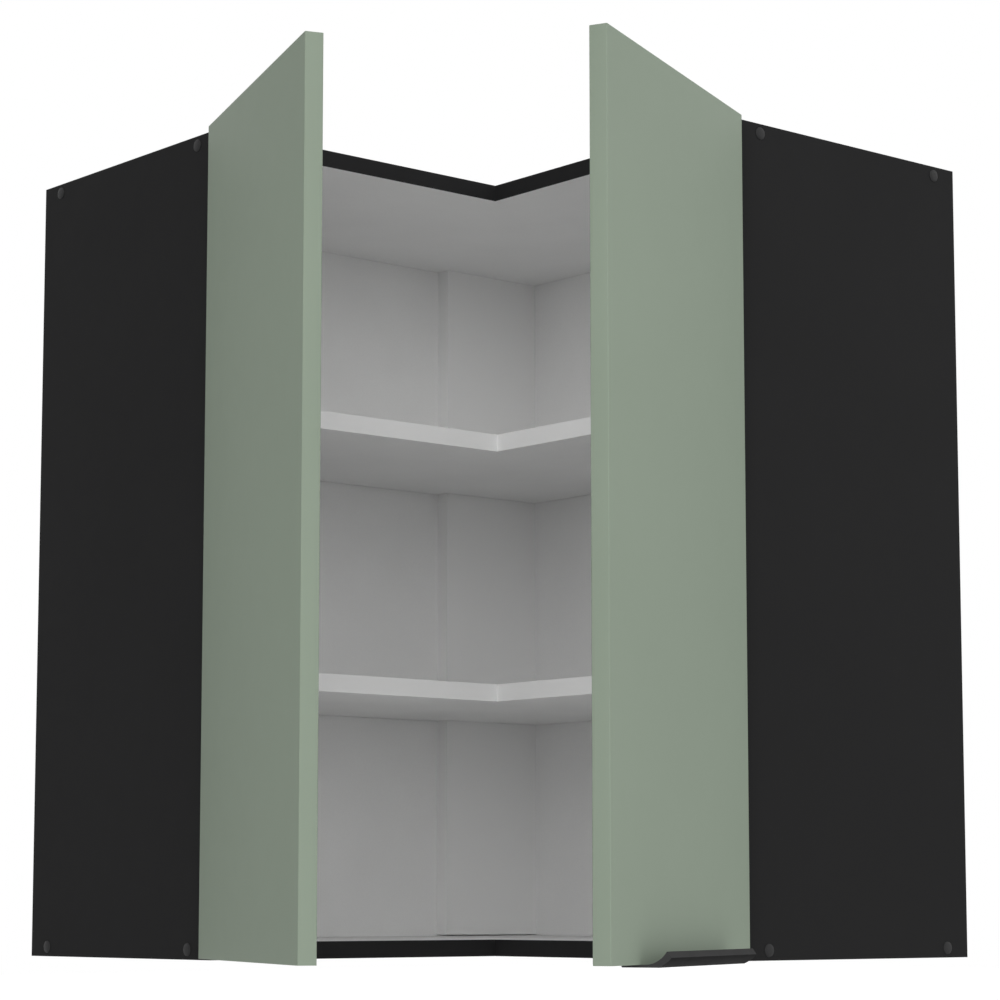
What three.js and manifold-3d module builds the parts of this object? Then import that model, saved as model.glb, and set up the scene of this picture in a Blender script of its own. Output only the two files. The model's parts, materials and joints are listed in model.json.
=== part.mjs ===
// Corner wall cabinet for a kitchen: an L-shaped carcass with two flat doors, hung from the walls.
//
// Millimetres, +Z up. The origin is the room corner at the height of the carcass's underside. The left wing
// runs along the wall plane X = 0 towards -Y, and the right wing along the wall plane Y = 0 towards +X.
// Pieces that both wings share are drawn once in wing coordinates: x is the distance along the wall from the
// room corner, y is the distance from the wall, and z is the height. The doors are shown open.

import * as THREE from "three";
import { mergeVertices } from "three/addons/utils/BufferGeometryUtils.js";
import Module from "manifold-3d";

const wasm = await Module();
wasm.setup();

// ---------------------------------------------------------------- driving dimensions

// Carcass
const wingLength = 600; // room corner to the outside of an end panel
const wingDepth = 287; // wall to the front edges
const carcassHeight = 717;
const boardThickness = 15;
const shelfThickness = 16;
const shelfNames = ["lower", "upper"]; // evenly spaced between the bottom and the top panel
const shelfSetback = 15; // behind the front edges of the top and bottom panels
const shelfClearance = 1; // to the back panels, the end panels and the batten

// Back panels, in grooves
const backThickness = 3;
const backInset = 10; // wall to the rear face
const grooveDepth = 7;
const fitGap = 0.3; // between a piece and the groove, bore or slot that it sits in

// Corner batten, behind the left back panel's corner end
const battenThickness = 16;
const battenWidth = 120;
const battenGap = 1; // above the bottom panel

// Carcass screws and their cover caps
const screwFromEdge = 8.5; // height of the screws inside the top and bottom edges
const screwFromWall = 27;
const screwFromFront = 35;
const screwHeadDiameter = 7;
const screwPilotDiameter = 5;
const screwPilotDepth = 35;
const capDiameter = 11;
const capRimHeight = 0.5;
const capDomeHeight = 0.9; // above the rim
const capStemDiameter = 4;
const capStemLength = 5;

// Shelf pins
const pinDiameter = 5;
const pinHeadDiameter = 7;
const pinInset = 8; // length in the panel
const pinReach = 9; // length under the shelf
const pinChamfer = 0.6;
const pinFromShelfEdge = 45;
const pinSeatGap = 0.1; // under the shelf

// Dowels between the corner batten and the shelves' notches
const dowelDiameter = 8;
const dowelInBatten = 12;
const dowelInShelf = 20;
const dowelChamfer = 1;

// Doors
const doorThickness = 15;
const doorReveal = 1; // between an end panel's outer face and the door's hinge edge
const doorEndGap = 1.5; // door to the carcass's top and bottom planes
const doorBackGap = 2; // between the carcass's front edges and the doors
const leftDoorFreeGap = 1; // closed, from its free edge to the right door's front plane
const rightDoorFreeGap = 7; // closed, from its free edge to the left door's front plane
const doorEdgeRadius = 0.8;
const leftOpening = 110; // degrees, as shown
const rightOpening = 114;
const axisBeyondEnd = 1.2; // door axis outside the end panel's outer face
const axisAheadOfFront = 4.2; // door axis ahead of the carcass's front edges

// Hinges. Each is a double parallelogram about the door axis: two cranks stay parallel to the line from the
// axis to the cup's pins, and two couplers stay parallel to the line from the arm's pins to the axis.
const hingeFromEnd = 100; // carcass top or bottom to a hinge's middle
const armLineAngle = 29; // direction from the arm's pins to the axis, from the x axis
const cupLineAngle = 178.3; // direction from the axis to the cup's pins with the door closed
const armPinInner = 36; // distance from the axis
const armPinOuter = 26.4;
const cupPinOuter = 18.7;
const cupPinInner = 26.1;
const leverWidth = 4.2;
const crankThickness = 5.6;
const couplerPlate = 1.2;
const leverGap = 0.3; // between stacked levers
const rivetDiameter = 2;
const rivetClearance = 0.3; // round a rivet in its hole

// Hinge cup
const cupDiameter = 35;
const cupDepth = 11.6;
const cupWall = 1.4;
const cupFromDoorEdge = 3.9;
const cupFlangeThickness = 1;
const cupSeatGap = 0.1; // under the flange
const cupFlangeRim = 1.5; // flange beyond the cup's wall
const cupEarSpacing = 45;
const cupEarOffset = 9.5; // ears behind the cup's middle
const cupEarRadius = 5.5;
const cupEarHole = 4;

// Hinge arm and its mounting plate
const armLength = 74; // from the front of the inner pin's eye to the back
const armWall = 1.6;
const armEyeRadius = 3;
const armTailHeight = 10;
const armWebThickness = 1.6;
const armShoulder = 32; // length over which the arm's crest drops to its tail
const footWidth = 18.5; // of the arm's foot in front of the plate's screws
const plateFromFront = 37; // the plate's screws behind the front edge
const plateHoleSpacing = 32;
const plateThickness = 2.2;
const plateWidth = 12;
const plateEndRadius = 7;
const plateScrewHole = 4.2;
const adjusterDiameter = 6;

// Wall hangers
const hangerWidth = 16; // from the end panel
const hangerDepth = 46;
const hangerHeight = 60;
const hangerEdge = 3;
const hangerTopGap = 1; // under the top panel
const hookPlate = 2.5;
const hookHeight = 26;
const hookFromTop = 9; // below the hanger's top
const hookFromWall = 2;
const hookArm = 6; // height of the arm over the wall rail
const hookLip = 3; // thickness of the lip behind the wall rail
const hookDrop = 15; // height of the lip
const hookTaper = 1.5;
const hookSeat = 30; // length of the hook inside the body
const hookFromEndPanel = 8; // end panel's inner face to the hook's middle
const adjusterHeights = [14, 40]; // below the hanger's top

// Edge pull under the right door
const pullLength = 180;
const pullPlate = 2;
const pullTip = { out: 22, up: 10.1 }; // from the door's front face and underside
const pullNose = { out: 25.7, up: 5.5 };
const pullBelly = { out: 24, up: 2.2 }; // control point of the curve under the nose
const pullHeel = 15.5; // out at the foot of the nose
const pullTipFlat = 0.6;
const pullFlat = 3.5; // flat of the plate beyond the door's front face
const pullScrewSpacing = 128;
const pullScrewHole = 4;
const pullScrewHead = 7.6;
const pullScrewDepth = 30;
const pullPilot = 2.5;

// How far a cutting tool runs past the face it enters
const past = 1;

// Facets round a full turn, and of each arc in an outline
const fineTurn = 32;
const coarseTurn = 12;
const capTurn = 16;
const rivetTurn = 8;
const capDomeSteps = 3;
const outlineArc = 3;
const pullArc = 10;

// ---------------------------------------------------------------- sizes that follow

const innerLength = wingLength - boardThickness; // room corner to the inside of an end panel
const clearHeight = carcassHeight - 2 * boardThickness;
const bayHeight = (clearHeight - shelfNames.length * shelfThickness) / (shelfNames.length + 1);
const backFace = backInset + backThickness; // inner face of a back panel
const battenFace = backFace + battenThickness;
const battenHeight = clearHeight - battenGap;
const shelfBack = backFace + shelfClearance;
const shelfFront = wingDepth - shelfSetback;
const shelfEnd = innerLength - shelfClearance;
const doorHeight = carcassHeight - 2 * doorEndGap;
const doorHingeEdge = wingLength - doorReveal;
const doorBack = wingDepth + doorBackGap;
const doorFront = doorBack + doorThickness;
const leftDoorWidth = doorHingeEdge - doorFront - leftDoorFreeGap;
const rightDoorWidth = doorHingeEdge - doorFront - rightDoorFreeGap;
const doorAxis = new THREE.Vector2(wingLength + axisBeyondEnd, wingDepth + axisAheadOfFront);
const cupMiddle = doorHingeEdge - cupFromDoorEdge - cupDiameter / 2;
const cupBoreDepth = cupDepth + fitGap;
const hingeHeights = { lower: hingeFromEnd, upper: carcassHeight - hingeFromEnd };
const innerCoupler = crankThickness / 2 + leverGap; // near face of the long coupler's plates
const outerCoupler = innerCoupler + couplerPlate + leverGap; // near face of the short coupler's plates
const armInside = outerCoupler + couplerPlate + leverGap; // near face of the arm's walls
const screwPlaces = [screwFromWall, wingDepth - screwFromFront];
const pinPlaces = [shelfBack + pinFromShelfEdge, shelfFront - pinFromShelfEdge];

const battenMiddle = -backFace - battenWidth / 2;
const hangerTop = carcassHeight - boardThickness - hangerTopGap;
const hookTop = hangerTop - hookFromTop;

const shelfHeight = (index) => boardThickness + bayHeight * (index + 1) + shelfThickness * index;
const shelfMiddle = (index) => shelfHeight(index) + shelfThickness / 2;
const pinHeight = (index) => shelfHeight(index) - pinSeatGap - pinHeadDiameter / 2;

// ---------------------------------------------------------------- materials

const paint = (name, color, roughness, metalness = 0) =>
  new THREE.MeshStandardMaterial({ name, color, roughness, metalness });
const blackBoard = paint("black_board", 0x252525, 0.6);
const whiteBoard = paint("white_board", 0xe4e4e4, 0.6);
const sageFront = paint("sage_front", 0x8d998b, 0.55);
const blackPull = paint("black_pull", 0x2c2c2c, 0.4);
const capPlastic = paint("cap_plastic", 0x3a3a3a, 0.5);
const steel = paint("steel", 0xb4b6b8, 0.3, 1);
const whitePlastic = paint("white_plastic", 0xdcdcdc, 0.5);
const beech = paint("beech", 0xc8a878, 0.7);

// ---------------------------------------------------------------- solids

function solidOf(geometry) {
  const bare = geometry.clone();
  bare.deleteAttribute("normal");
  bare.deleteAttribute("uv");
  const merged = mergeVertices(bare, 1e-4);
  const vertProperties = merged.getAttribute("position").array;
  const triVerts = new Uint32Array(merged.index.array);
  return new wasm.Manifold(new wasm.Mesh({ numProp: 3, vertProperties, triVerts }));
}

function geometryOf(solid) {
  const { vertProperties, triVerts } = solid.getMesh();
  const geometry = new THREE.BufferGeometry();
  geometry.setAttribute("position", new THREE.BufferAttribute(vertProperties, 3));
  geometry.setIndex(new THREE.BufferAttribute(triVerts, 1));
  return geometry;
}

function cut(geometry, ...tools) {
  let solid = solidOf(geometry);
  for (const tool of tools) solid = solid.subtract(solidOf(tool));
  return geometryOf(solid);
}

function join(...geometries) {
  const [first, ...rest] = geometries.map(solidOf);
  return geometryOf(rest.reduce((sum, solid) => sum.add(solid), first));
}

function box(x0, x1, y0, y1, z0, z1) {
  const geometry = new THREE.BoxGeometry(x1 - x0, y1 - y0, z1 - z0);
  return geometry.translate((x0 + x1) / 2, (y0 + y1) / 2, (z0 + z1) / 2);
}

// An outline in the XY plane, between two heights.
function prism(shape, z0, z1, curveSegments = outlineArc) {
  const geometry = new THREE.ExtrudeGeometry(shape, { depth: z1 - z0, bevelEnabled: false, curveSegments });
  return geometry.translate(0, 0, z0);
}

// Round bars along each axis, through the two coordinates given first.
function barAlongX(y, z, diameter, x0, x1, turn = coarseTurn) {
  const geometry = new THREE.CylinderGeometry(diameter / 2, diameter / 2, x1 - x0, turn);
  return geometry.rotateZ(Math.PI / 2).translate((x0 + x1) / 2, y, z);
}

function barAlongY(x, z, diameter, y0, y1, turn = coarseTurn) {
  const geometry = new THREE.CylinderGeometry(diameter / 2, diameter / 2, y1 - y0, turn);
  return geometry.translate(x, (y0 + y1) / 2, z);
}

function barAlongZ(x, y, diameter, z0, z1, turn = coarseTurn) {
  const geometry = new THREE.CylinderGeometry(diameter / 2, diameter / 2, z1 - z0, turn);
  return geometry.rotateX(Math.PI / 2).translate(x, y, (z0 + z1) / 2);
}

// A profile of [radius, height] points turned about the X axis.
function turnedAlongX(profile, turn = coarseTurn) {
  const points = profile.map(([radius, height]) => new THREE.Vector2(radius, height));
  return new THREE.LatheGeometry(points, turn).rotateZ(-Math.PI / 2);
}

function outline(points) {
  return new THREE.Shape(points.map(([x, y]) => new THREE.Vector2(x, y)));
}

function roundedRectangle(x0, x1, y0, y1, radius) {
  const shape = new THREE.Shape();
  shape.moveTo(x0 + radius, y0);
  shape.lineTo(x1 - radius, y0);
  shape.absarc(x1 - radius, y0 + radius, radius, -Math.PI / 2, 0);
  shape.lineTo(x1, y1 - radius);
  shape.absarc(x1 - radius, y1 - radius, radius, 0, Math.PI / 2);
  shape.lineTo(x0 + radius, y1);
  shape.absarc(x0 + radius, y1 - radius, radius, Math.PI / 2, Math.PI);
  shape.lineTo(x0, y0 + radius);
  shape.absarc(x0 + radius, y0 + radius, radius, Math.PI, 1.5 * Math.PI);
  return shape;
}

// Turns a section drawn as (distance from the wall, height) so that it runs along X.
const sectionAlongX = new THREE.Matrix4().makeBasis(
  new THREE.Vector3(0, 1, 0),
  new THREE.Vector3(0, 0, 1),
  new THREE.Vector3(1, 0, 0),
);

const degrees = THREE.MathUtils.degToRad;
const along = (angle, distance) =>
  new THREE.Vector2(Math.cos(degrees(angle)), Math.sin(degrees(angle))).multiplyScalar(distance);

function mesh(name, geometry, material) {
  const made = new THREE.Mesh(geometry, material);
  made.name = name;
  return made;
}

// ---------------------------------------------------------------- carcass boards

// The L outline of a board that reaches from `back` off the walls to `front`, and to `end` along them.
function cornerOutline(back, front, end) {
  return [
    [back, -back],
    [end, -back],
    [end, -front],
    [front, -front],
    [front, -end],
    [back, -end],
  ];
}

// Grooves for both back panels in the face at height z, cut upwards or downwards.
function backGrooves(z0, z1) {
  const near = backInset - fitGap;
  const far = backFace + fitGap;
  return [
    box(near, innerLength + past, -far, -near, z0, z1),
    box(near, far, -innerLength - past, -near, z0, z1),
  ];
}

// Pilot bores for the carcass screws in the two ends of a top or bottom board.
function endPilots(z) {
  const start = innerLength - screwPilotDepth;
  return screwPlaces.flatMap((place) => [
    barAlongX(-place, z, screwPilotDiameter, start, innerLength + past),
    barAlongY(place, z, screwPilotDiameter, -innerLength - past, -start),
  ]);
}

function topPanel() {
  const underside = carcassHeight - boardThickness;
  const board = prism(outline(cornerOutline(0, wingDepth, innerLength)), underside, carcassHeight);
  const grooves = backGrooves(underside - past, underside + grooveDepth);
  return cut(board, ...grooves, ...endPilots(carcassHeight - screwFromEdge));
}

function bottomPanel() {
  const board = prism(outline(cornerOutline(0, wingDepth, innerLength)), 0, boardThickness);
  const grooves = backGrooves(boardThickness - grooveDepth, boardThickness + past);
  return cut(board, ...grooves, ...endPilots(screwFromEdge));
}

// A shelf, notched round the corner batten.
function shelf(index) {
  const z = shelfHeight(index);
  const [, ...rest] = cornerOutline(shelfBack, shelfFront, shelfEnd);
  const notchEnd = -(backFace + battenWidth + shelfClearance);
  const notchSide = battenFace + shelfClearance;
  const points = [...rest, [shelfBack, notchEnd], [notchSide, notchEnd], [notchSide, -shelfBack]];
  const board = prism(outline(points), z, z + shelfThickness);
  return cut(board, dowelBore(index, notchSide - past, battenFace + dowelInShelf + fitGap));
}

function dowelBore(index, x0, x1) {
  return barAlongX(battenMiddle, shelfMiddle(index), dowelDiameter + 2 * fitGap, x0, x1);
}

function cornerBatten() {
  const z0 = boardThickness + battenGap;
  const board = box(backFace, battenFace, -backFace - battenWidth, -backFace, z0, z0 + battenHeight);
  const start = battenFace - dowelInBatten - fitGap;
  return cut(board, ...shelfNames.map((_, index) => dowelBore(index, start, battenFace + past)));
}

// A dowel along X, from the bottom of its bore in the batten.
function dowel() {
  const radius = dowelDiameter / 2;
  const length = dowelInBatten + dowelInShelf;
  return turnedAlongX([
    [0, 0],
    [radius - dowelChamfer, 0],
    [radius, dowelChamfer],
    [radius, length - dowelChamfer],
    [radius - dowelChamfer, length],
    [0, length],
  ]);
}

// ---------------------------------------------------------------- pieces in wing coordinates

// An end panel with its groove, through bores for the carcass screws and blind bores for the shelf pins.
function endPanel() {
  const board = box(innerLength, wingLength, 0, wingDepth, 0, carcassHeight);
  const grooveEnd = boardThickness - grooveDepth;
  const groove = box(
    innerLength - past,
    innerLength + grooveDepth,
    backInset - fitGap,
    backFace + fitGap,
    grooveEnd,
    carcassHeight - grooveEnd,
  );
  const screwBores = [screwFromEdge, carcassHeight - screwFromEdge].flatMap((z) =>
    screwPlaces.map((y) => barAlongX(y, z, screwHeadDiameter, innerLength - past, wingLength + past)),
  );
  const boreEnd = innerLength + pinInset + fitGap;
  const pinBores = shelfNames.flatMap((_, index) =>
    pinPlaces.map((y) =>
      barAlongX(y, pinHeight(index), pinDiameter + 2 * fitGap, innerLength - past, boreEnd),
    ),
  );
  return cut(board, groove, ...screwBores, ...pinBores);
}

// A hardboard back, in the grooves of the top, bottom and end panels, with a window for the hanger's hook.
function backPanel() {
  const z0 = boardThickness - grooveDepth + fitGap;
  const end = innerLength + grooveDepth - fitGap;
  const board = box(backFace, end, backInset, backFace, z0, carcassHeight - z0);
  const window = box(
    innerLength - hangerWidth,
    innerLength,
    backInset - past,
    backFace + past,
    hangerTop - hangerHeight,
    hangerTop,
  );
  return cut(board, window);
}

// A cover cap: a rim with a low dome, and a stem that plugs into the screw's head.
function coverCap() {
  const rim = capDiameter / 2;
  const dome = new THREE.EllipseCurve(0, capRimHeight, rim, capDomeHeight, 0, Math.PI / 2);
  const domePoints = dome.getPoints(capDomeSteps).map((point) => [point.x, point.y]);
  domePoints[domePoints.length - 1] = [0, capRimHeight + capDomeHeight];
  const stem = [
    [0, -capStemLength],
    [capStemDiameter / 2, -capStemLength],
    [capStemDiameter / 2, 0],
    [rim, 0],
  ];
  return turnedAlongX([...stem, ...domePoints], capTurn);
}

// A shelf pin along X: the thin end sits in a bore, the thick end carries the shelf.
function shelfPin() {
  const thin = pinDiameter / 2;
  const thick = pinHeadDiameter / 2;
  return turnedAlongX([
    [0, -pinInset],
    [thin - pinChamfer, -pinInset],
    [thin, -pinInset + pinChamfer],
    [thin, 0],
    [thick, 0],
    [thick, pinReach - pinChamfer],
    [thick - pinChamfer, pinReach],
    [0, pinReach],
  ]);
}

// A door in the closed place, with the bores of its hinge cups in the inner face.
function door(width) {
  const free = doorHingeEdge - width;
  const section = roundedRectangle(free, doorHingeEdge, doorBack, doorFront, doorEdgeRadius);
  const board = prism(section, doorEndGap, doorEndGap + doorHeight);
  const bores = Object.values(hingeHeights).map((z) =>
    barAlongY(cupMiddle, z, cupDiameter + 2 * fitGap, doorBack - past, doorBack + cupBoreDepth, fineTurn),
  );
  return { board, bores };
}

function leftDoor() {
  const { board, bores } = door(leftDoorWidth);
  return cut(board, ...bores);
}

function rightDoor() {
  const { board, bores } = door(rightDoorWidth);
  const pilots = pullScrewPlaces().map((x) =>
    barAlongZ(x, doorBack + doorThickness / 2, pullPilot, doorEndGap - past, doorEndGap + pullScrewDepth),
  );
  return cut(board, ...bores, ...pilots);
}

// ---------------------------------------------------------------- edge pull

const pullMiddle = () => doorHingeEdge - rightDoorWidth / 2;
const pullScrewPlaces = () => [-1, 1].map((side) => pullMiddle() + (side * pullScrewSpacing) / 2);

// The pull's section, in distances out from the door's front face and up from its underside: a flat plate
// under the door that curves up into a concave finger groove, and a nose with a sloping front.
function pullSection() {
  const reach = pullTip.out - pullFlat;
  const grooveRadius = (reach ** 2 + pullTip.up ** 2) / (2 * pullTip.up);
  const endAngle = Math.asin(reach / grooveRadius) - Math.PI / 2;
  const section = new THREE.Shape();
  section.moveTo(-doorThickness, -pullPlate);
  section.lineTo(pullHeel, -pullPlate);
  section.quadraticCurveTo(pullBelly.out, pullBelly.up, pullNose.out, pullNose.up);
  section.lineTo(pullTip.out + pullTipFlat, pullTip.up);
  section.absarc(pullFlat, grooveRadius, grooveRadius, endAngle, -Math.PI / 2, true);
  section.lineTo(-doorThickness, 0);
  return section;
}

function edgePull() {
  const bar = prism(pullSection(), 0, pullLength, pullArc).applyMatrix4(sectionAlongX);
  bar.translate(pullMiddle() - pullLength / 2, doorFront, doorEndGap);
  const y = doorBack + doorThickness / 2;
  const bottom = doorEndGap - pullPlate;
  const sinkDepth = (pullScrewHead - pullScrewHole) / 2;
  const tools = pullScrewPlaces().flatMap((x) => {
    const sink = new THREE.CylinderGeometry(pullScrewHole / 2, pullScrewHead / 2, sinkDepth, coarseTurn);
    sink.rotateX(Math.PI / 2).translate(x, y, bottom + sinkDepth / 2);
    return [sink, barAlongZ(x, y, pullScrewHole, bottom - past, doorEndGap + past)];
  });
  return cut(bar, ...tools);
}

// ---------------------------------------------------------------- hinges

// A flat lever along +X from the origin, with round ends.
function leverOutline(length) {
  const half = leverWidth / 2;
  const shape = new THREE.Shape();
  shape.absarc(length, 0, half, -Math.PI / 2, Math.PI / 2);
  shape.absarc(0, 0, half, Math.PI / 2, 1.5 * Math.PI);
  return shape;
}

const rivet = (x, y, z) => barAlongZ(x, y, rivetDiameter, -z, z, rivetTurn);
const rivetHole = (x, z) => barAlongZ(x, 0, rivetDiameter + 2 * rivetClearance, -z, z, rivetTurn);

// A crank turns on a rivet of the arm at its origin and carries the couplers' rivets.
function crank(length, ...rivets) {
  const half = crankThickness / 2;
  const holes = [0, ...rivets, length].map((x) => rivetHole(x, half + past));
  return cut(prism(leverOutline(length), -half, half), ...holes);
}

// A coupler is a pair of plates along -X from the cup's rivet, joined by its own rivets through the cranks.
function coupler(length, near, ...rivets) {
  const far = near + couplerPlate;
  const plate = leverOutline(length).getPoints(outlineArc);
  const shape = new THREE.Shape(plate.map((point) => new THREE.Vector2(point.x - length, point.y)));
  const own = [-length, ...rivets].map((x) => rivet(x, 0, near + couplerPlate / 2));
  const pair = join(prism(shape, near, far), prism(shape, -far, -near), ...own);
  return cut(pair, rivetHole(0, far + past));
}

// The cup in the closed door, about the cup's axis: a pressed bowl under an eared flange, with two rivets.
function hingeCup() {
  const outer = cupDiameter / 2;
  const flangeTop = doorBack - cupSeatGap - cupFlangeThickness;
  const flangeBottom = doorBack - cupSeatGap;
  const bowl = barAlongY(cupMiddle, 0, cupDiameter, flangeTop, doorBack + cupDepth, fineTurn);
  const flangeDiameter = cupDiameter + 2 * cupFlangeRim;
  const flangeDisc = barAlongY(cupMiddle, 0, flangeDiameter, flangeTop, flangeBottom, fineTurn);
  const earX = cupMiddle - cupEarOffset;
  const ears = [-1, 1].map((side) =>
    barAlongY(earX, (side * cupEarSpacing) / 2, 2 * cupEarRadius, flangeTop, flangeBottom, capTurn),
  );
  const bridge = box(
    earX - cupEarRadius,
    earX + cupEarRadius,
    flangeTop,
    flangeBottom,
    -cupEarSpacing / 2,
    cupEarSpacing / 2,
  );
  const bodyOfCup = join(bowl, flangeDisc, bridge, ...ears);
  const cavityFloor = doorBack + cupDepth - cupWall;
  const hollow = barAlongY(cupMiddle, 0, cupDiameter - 2 * cupWall, flangeTop - past, cavityFloor, fineTurn);
  const holes = [-1, 1].map((side) =>
    barAlongY(earX, (side * cupEarSpacing) / 2, cupEarHole, flangeTop - past, flangeBottom + past),
  );
  const open = cut(bodyOfCup, hollow, ...holes);
  const rivets = [cupPinOuter, cupPinInner].map((distance) => {
    const { x, y } = along(cupLineAngle, distance).add(doorAxis);
    const reach = Math.sqrt((outer - cupWall) ** 2 - (x - cupMiddle) ** 2) + cupWall / 2;
    return rivet(x, y, reach);
  });
  return join(open, ...rivets);
}

// Arm pins in wing coordinates.
const armPin = (distance) => doorAxis.clone().sub(along(armLineAngle, distance));

// The arm's crest: its outer edge, from behind the inner rivet down to the low tail.
function armCrest(inset) {
  const inner = armPin(armPinInner);
  const front = inner.x - armEyeRadius + inset;
  const low = innerLength - armTailHeight + inset;
  const start = inner.y - 2 * armEyeRadius;
  const middle = start - armShoulder / 2;
  const slope = new THREE.CubicBezierCurve(
    new THREE.Vector2(front, start),
    new THREE.Vector2(front, middle),
    new THREE.Vector2(low, middle),
    new THREE.Vector2(low, start - armShoulder),
  );
  return [...slope.getPoints(2 * outlineArc), new THREE.Vector2(low, inner.y + armEyeRadius - armLength)];
}

// The side view of an arm's wall: eyes round both rivets at the front, and the crest above the plate.
function armOutline() {
  const inner = armPin(armPinInner);
  const outer = armPin(armPinOuter);
  const crest = armCrest(0);
  const seat = innerLength - plateThickness / 2;
  const shape = new THREE.Shape();
  shape.moveTo(seat, crest[crest.length - 1].y);
  shape.lineTo(seat, outer.y - 2 * armEyeRadius);
  shape.quadraticCurveTo(outer.x + armEyeRadius, outer.y - armEyeRadius, outer.x + armEyeRadius, outer.y);
  shape.absarc(outer.x, outer.y, armEyeRadius, 0, degrees(90 + armLineAngle));
  shape.absarc(inner.x, inner.y, armEyeRadius, degrees(90 + armLineAngle), Math.PI);
  for (const point of crest) shape.lineTo(point.x, point.y);
  return shape;
}

// The web that joins the arm's walls under the crest.
function armWebOutline() {
  return new THREE.Shape([...armCrest(armWebThickness).reverse(), ...armCrest(0)].reverse());
}

// The arm with its mounting plate, screwed to the end panel's inner face.
function hingeArm() {
  const wall = armOutline();
  const walls = [prism(wall, armInside, armInside + armWall), prism(wall, -armInside - armWall, -armInside)];
  const web = prism(armWebOutline(), -armInside - armWall / 2, armInside + armWall / 2);
  const plateY = wingDepth - plateFromFront;
  const plateX = innerLength - plateThickness;
  const lobes = [-1, 1].map((side) =>
    barAlongX(plateY, (side * plateHoleSpacing) / 2, 2 * plateEndRadius, plateX, innerLength, capTurn),
  );
  const bridge = box(
    plateX,
    innerLength,
    plateY - plateWidth / 2,
    plateY + plateWidth / 2,
    -plateHoleSpacing / 2,
    plateHoleSpacing / 2,
  );
  const tail = armPin(armPinInner).y + armEyeRadius - armLength;
  const foot = box(plateX, innerLength, tail, plateY + footWidth, -armInside - armWall, armInside + armWall);
  const rivets = [armPinInner, armPinOuter].map((distance) => {
    const { x, y } = armPin(distance);
    return rivet(x, y, armInside + armWall / 2);
  });
  const whole = join(...walls, web, bridge, foot, ...lobes, ...rivets);
  const screwHoles = [-1, 1].map((side) =>
    barAlongX(plateY, (side * plateHoleSpacing) / 2, plateScrewHole, plateX - past, innerLength + past),
  );
  const adjusterStart = innerLength - 2 * armTailHeight;
  const adjuster = barAlongX(tail + adjusterDiameter, 0, adjusterDiameter, adjusterStart, plateX);
  return cut(whole, ...screwHoles, adjuster);
}

// ---------------------------------------------------------------- wall hangers

// The plastic body against the end panel and the top panel, with the slot of its hook.
function hangerBody() {
  const x0 = innerLength - hangerWidth;
  const y0 = backFace + fitGap;
  const section = roundedRectangle(x0, innerLength, y0, y0 + hangerDepth, hangerEdge);
  const body = prism(section, hangerTop - hangerHeight, hangerTop);
  const bottom = hangerTop - hangerHeight;
  const seat = box(innerLength - hangerEdge, innerLength, y0, y0 + hangerDepth, bottom, hangerTop);
  const hookX = innerLength - hookFromEndPanel;
  const slotHalf = hookPlate / 2 + fitGap;
  const slot = box(
    hookX - slotHalf,
    hookX + slotHalf,
    y0 - past,
    y0 + hookSeat + fitGap,
    hookTop - hookHeight - fitGap,
    hookTop + fitGap,
  );
  const adjusters = adjusterHeights.map((below) =>
    barAlongY(hookX, hangerTop - below, adjusterDiameter, y0 + hookSeat + past, y0 + hangerDepth + past),
  );
  return cut(join(body, seat), slot, ...adjusters);
}

// The steel hook, which reaches through the back panel's window and drops behind the wall rail.
function hangerHook() {
  const inside = backFace + fitGap + hookSeat;
  const lipFace = hookFromWall + hookLip;
  const profile = outline([
    [inside, hookTop - hookHeight],
    [inside, hookTop],
    [hookFromWall, hookTop],
    [hookFromWall, hookTop - hookDrop + hookTaper],
    [hookFromWall + hookTaper, hookTop - hookDrop],
    [lipFace, hookTop - hookDrop],
    [lipFace, hookTop - hookArm],
    [backFace, hookTop - hookArm],
    [backFace, hookTop - hookHeight],
  ]);
  const plate = prism(profile, -hookPlate / 2, hookPlate / 2).applyMatrix4(sectionAlongX);
  return plate.translate(innerLength - hookFromEndPanel, 0, 0);
}

// ---------------------------------------------------------------- assembly

// Levers of one hinge at a door's opening. Cranks follow the door, and couplers keep their direction.
function addLevers(wing, side, level, opening) {
  const z = hingeHeights[level];
  const crankAngle = degrees(cupLineAngle - opening);
  const prefix = `hinge_${side}_${level}`;
  const cranks = [
    ["crank_long", crank(cupPinInner, cupPinOuter), armPin(armPinOuter)],
    ["crank_short", crank(cupPinOuter), armPin(armPinInner)],
  ];
  for (const [name, geometry, { x, y }] of cranks) {
    const lever = mesh(`${prefix}_${name}`, geometry, steel);
    lever.position.set(x, y, z);
    lever.rotation.z = crankAngle;
    wing.add(lever);
  }
  const couplers = [
    ["coupler_long", coupler(armPinInner, innerCoupler, -armPinOuter), cupPinOuter],
    ["coupler_short", coupler(armPinOuter, outerCoupler), cupPinInner],
  ];
  for (const [name, geometry, distance] of couplers) {
    const pin = along(cupLineAngle - opening, distance).add(doorAxis);
    const lever = mesh(`${prefix}_${name}`, geometry, steel);
    lever.position.set(pin.x, pin.y, z);
    lever.rotation.z = degrees(armLineAngle);
    wing.add(lever);
  }
}

// A door with its cups, in a group that turns about the door axis.
function addDoor(wing, side, geometry, opening, extras = []) {
  const swing = new THREE.Group();
  swing.position.set(doorAxis.x, doorAxis.y, 0);
  swing.rotation.z = -degrees(opening);
  const closed = new THREE.Group();
  closed.position.set(-doorAxis.x, -doorAxis.y, 0);
  closed.add(mesh(`door_${side}`, geometry, sageFront), ...extras);
  for (const [level, z] of Object.entries(hingeHeights)) {
    const cup = mesh(`hinge_${side}_${level}_cup`, hingeCup(), steel);
    cup.position.z = z;
    closed.add(cup);
  }
  swing.add(closed);
  wing.add(swing);
}

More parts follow.
